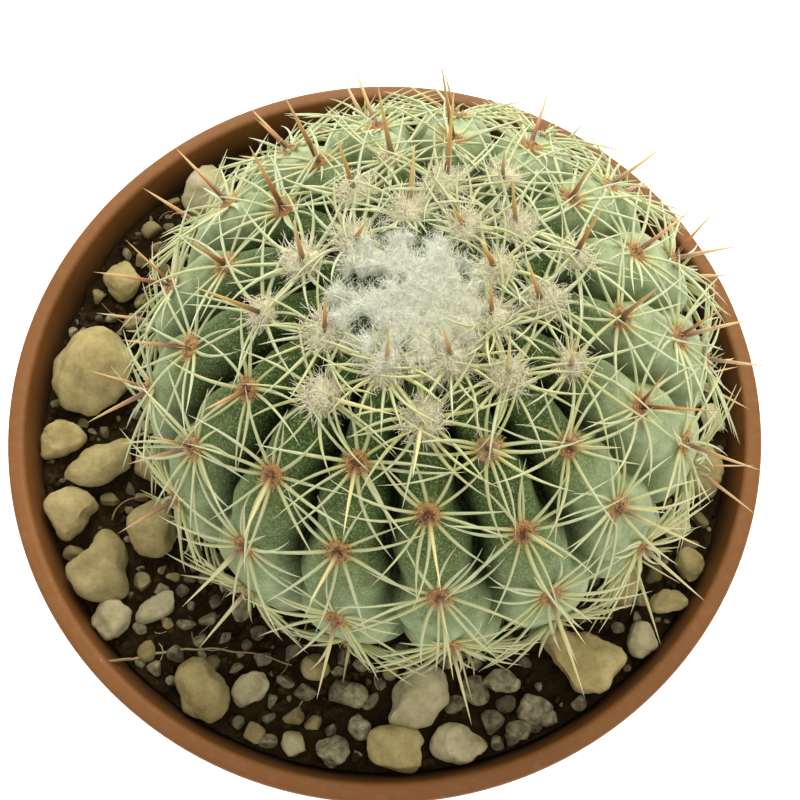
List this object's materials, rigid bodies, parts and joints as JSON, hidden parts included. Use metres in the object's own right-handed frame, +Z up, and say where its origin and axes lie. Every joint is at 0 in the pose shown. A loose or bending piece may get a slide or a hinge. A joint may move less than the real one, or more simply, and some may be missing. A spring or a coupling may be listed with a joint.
{
  "type": "potted round cactus",
  "caption": "Round ribbed cactus with pale interlacing spines and a woolly crown, in a terracotta-brown nursery pot with soil and loose stones.",
  "frame": {"origin": "centre of the pot's flat foot, on the plane it stands on", "axes": "+Z up along the pot's axis, -Y towards the front of the picture, +X to its right"},
  "size_m": [0.085, 0.085, 0.1143],
  "materials": {
    "pot_plastic": "satin",
    "potting_soil": "matte",
    "cactus_flesh": "matte",
    "tan_stone": "matte",
    "pale_stone": "matte",
    "grey_stone": "matte"
  },
  "bodies": {
    "root": {"pot": "pot_plastic", "soil": "potting_soil", "cactus": "cactus_flesh", "stone_01": "tan_stone", "stone_02": "tan_stone", "stone_03": "tan_stone", "stone_04": "tan_stone", "stone_05": "tan_stone", "stone_06": "pale_stone", "stone_07": "pale_stone", "stone_08": "tan_stone", "stone_09": "pale_stone", "stone_10": "tan_stone", "stone_11": "grey_stone", "stone_12": "grey_stone", "stone_13": "pale_stone", "stone_14": "grey_stone", "stone_15": "tan_stone", "stone_16": "pale_stone", "stone_17": "pale_stone", "stone_18": "grey_stone", "stone_19": "grey_stone", "stone_20": "tan_stone", "stone_21": "tan_stone", "stone_22": "tan_stone", "stone_23": "pale_stone", "stone_24": "tan_stone", "stone_25": "pale_stone", "stone_26": "tan_stone", "stone_27": "pale_stone", "stone_28": "pale_stone", "stone_29": "tan_stone", "stone_30": "tan_stone", "stone_31": "tan_stone", "stone_32": "pale_stone", "stone_33": "tan_stone", "stone_34": "tan_stone"}
  },
  "joints": []
}
